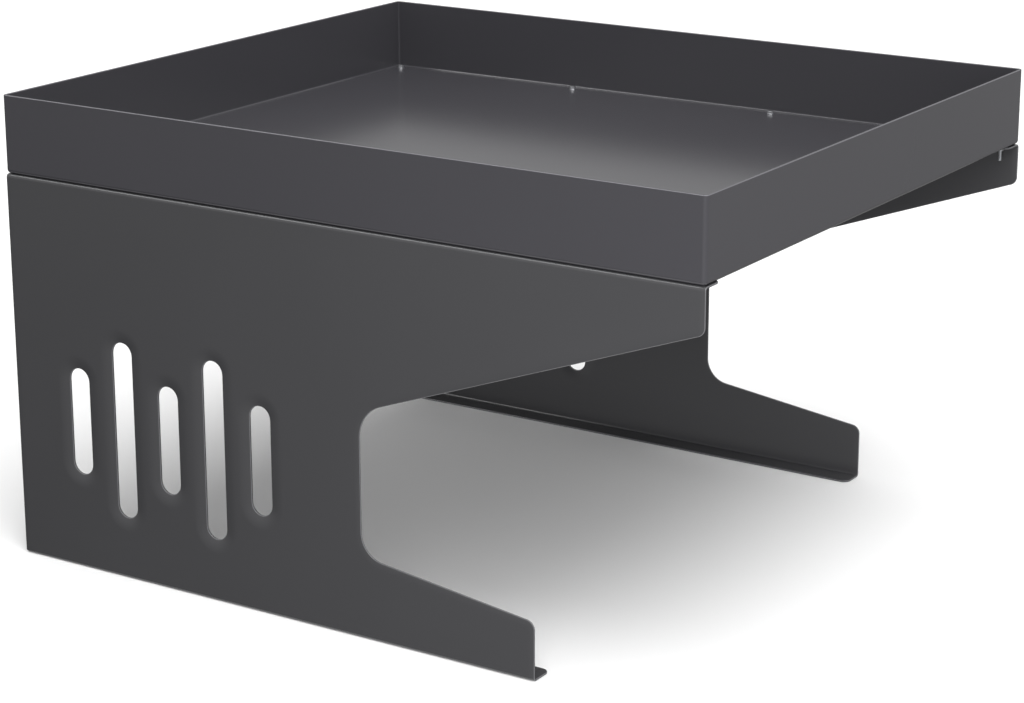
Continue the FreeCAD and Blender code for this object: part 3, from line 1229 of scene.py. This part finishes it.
@dataclass
class Studio:
    """A plain pale floor, soft light all round and the camera at the photograph's angle.

    The spans belong to the dome: the bearing over which its front fades to its rear,
    and the heights over which the glow from the floor and the sky give way.
    """

    camera_place: Place = (-2.8675, -1.8416, 1.2692)
    camera_aim: Place = (0.8152, 0.5106, -0.2733)
    camera_roll: float = 0.0026
    camera_range: float = 200.0
    lens: float = 95.42
    shift: tuple[float, float] = (-0.0424, -0.0397)
    floor_half: float = 40.0
    floor_tone: float = 0.85
    floor_roughness: float = 0.7
    sky: float = 0.6
    front_glow: float = 0.34
    rear_glow: float = 0.0
    floor_glow: float = 1.2
    rear_span: Span = (0.30, 0.80)
    floor_span: Span = (-0.80, -0.62)
    sky_span: Span = (-0.36, 0.06)
    lights: tuple[FarLight | Softbox, ...] = (
        FarLight("top", (-0.15, -0.26, 0.95), power=2.1, width=50.0),
        FarLight("key", (-0.50, -0.50, 0.70), power=1.2, width=50.0),
        FarLight("gleam", (-0.31, 0.57, 0.76), power=0.7, width=22.0, only_reflected=True),
        Softbox("low_softbox", (-1.6, -1.1, 0.35), aim=(0.3, -0.4, 0.1), power=6.5),
        Softbox("front_softbox", (-1.5, -1.4, 1.4), aim=(0.3, 0.1, 0.6), power=2.5),
    )

    def camera(self) -> None:
        """Place the camera: its right is aim x up, turned by the roll about the aim."""
        aim = Vector(self.camera_aim).normalized()
        right = aim.cross(Vector((0, 0, 1))).normalized()
        up = right.cross(aim)
        turned = right * math.cos(self.camera_roll) + up * math.sin(self.camera_roll)
        upright = up * math.cos(self.camera_roll) - right * math.sin(self.camera_roll)
        data = bpy.data.cameras.new("camera")
        data.lens = self.lens
        data.shift_x, data.shift_y = self.shift
        data.clip_end = self.camera_range
        camera = added("camera", data)
        axes = Matrix((turned, upright, -aim)).transposed().to_4x4()
        camera.matrix_world = Matrix.Translation(self.camera_place) @ axes
        bpy.context.scene.camera = camera

    def floor(self) -> None:
        """Lay a wide pale floor at the height of the feet."""
        half = self.floor_half
        corners = [(-half, -half, 0), (half, -half, 0), (half, half, 0), (-half, half, 0)]
        mesh = bpy.data.meshes.new("floor")
        mesh.from_pydata(corners, [], [(0, 1, 2, 3)])
        material = bpy.data.materials.new("floor")
        material.use_nodes = True
        shader = material.node_tree.nodes["Principled BSDF"]
        shader.inputs["Base Color"].default_value = (self.floor_tone,) * 3 + (1.0,)
        shader.inputs["Roughness"].default_value = self.floor_roughness
        mesh.materials.append(material)
        floor = added("floor", mesh)
        floor.visible_glossy = False
        floor.visible_diffuse = False

    def dome(self) -> None:
        """Light from all round: pale above the horizon, and dimmer below it to the rear.

        Below the horizon the strength falls from the front's to the rear's over the
        share of +Y in the level part of the direction. It rises to the sky's over the
        direction's height, from under the horizon to a little over it, and straight
        down there is a pale glow as from a floor.
        """
        world = bpy.data.worlds.new("dome")
        world.use_nodes = True
        sheet = NodeSheet(world.node_tree)
        place = sheet.add("ShaderNodeTexCoord").outputs["Generated"]
        level = sheet.maths("MULTIPLY", place, (1.0, 1.0, 0.0), kind="VectorMath")
        compass = sheet.maths("NORMALIZE", level, kind="VectorMath")
        bearing = sheet.feed(sheet.add("ShaderNodeSeparateXYZ"), Vector=compass).outputs["Y"]
        height = sheet.feed(sheet.add("ShaderNodeSeparateXYZ"), Vector=place).outputs["Z"]
        ground = sheet.ramp(bearing, self.rear_span, self.front_glow, self.rear_glow)
        under = sheet.ramp(height, self.floor_span, self.floor_glow, ground)
        strength = sheet.ramp(height, self.sky_span, under, self.sky)
        background = world.node_tree.nodes["Background"]
        sheet.feed(background, Color=(1.0, 1.0, 1.0, 1.0), Strength=strength)
        bpy.context.scene.world = world

    def build(self) -> None:
        """Set up the whole studio."""
        self.dome()
        bpy.context.scene.view_settings.view_transform = "Standard"
        self.floor()
        self.camera()
        for light in self.lights:
            light.hang()


def main() -> None:
    """Build the garage and its studio, and report each piece."""
    logging.basicConfig(level=logging.INFO, format="%(message)s")
    group = coat_group()
    coats = {finish.slot: finish.material(group) for finish in FINISHES}
    pieces = SidePanel().build(coats) + PlantingTray().build(coats) + Fastener().build(coats)
    for piece in pieces:
        log.info("%s: %d triangles", piece.name, len(piece.data.polygons))
    Studio().build()


if __name__ == "__main__":
    main()
